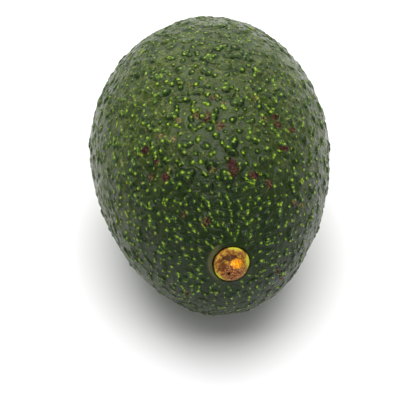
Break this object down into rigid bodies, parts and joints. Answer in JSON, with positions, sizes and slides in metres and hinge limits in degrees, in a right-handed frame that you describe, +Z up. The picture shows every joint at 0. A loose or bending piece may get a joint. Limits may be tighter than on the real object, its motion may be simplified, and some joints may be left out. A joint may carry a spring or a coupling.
{
  "type": "avocado",
  "caption": "Whole ripe-green avocado lying on its side, with a pebbled leathery skin and a woody stem button seated off the tip of its narrower end.",
  "frame": {"origin": "middle of the small flat spot that the fruit rests on", "axes": "+Z up; the long axis runs along Y, tipped 3.3 degrees, with the stem end towards -Y and the blossom end towards +Y"},
  "size_m": [0.0712, 0.0989, 0.0701],
  "materials": {
    "pebbled_skin": "leathery dark green fruit skin with a soft waxy sheen and yellow-green specks",
    "woody_button": "dry corky stem scar, yellow-green at its rim and orange-brown in the middle"
  },
  "bodies": {
    "root": {"fruit": "pebbled_skin", "stem_button": "woody_button"}
  },
  "joints": []
}
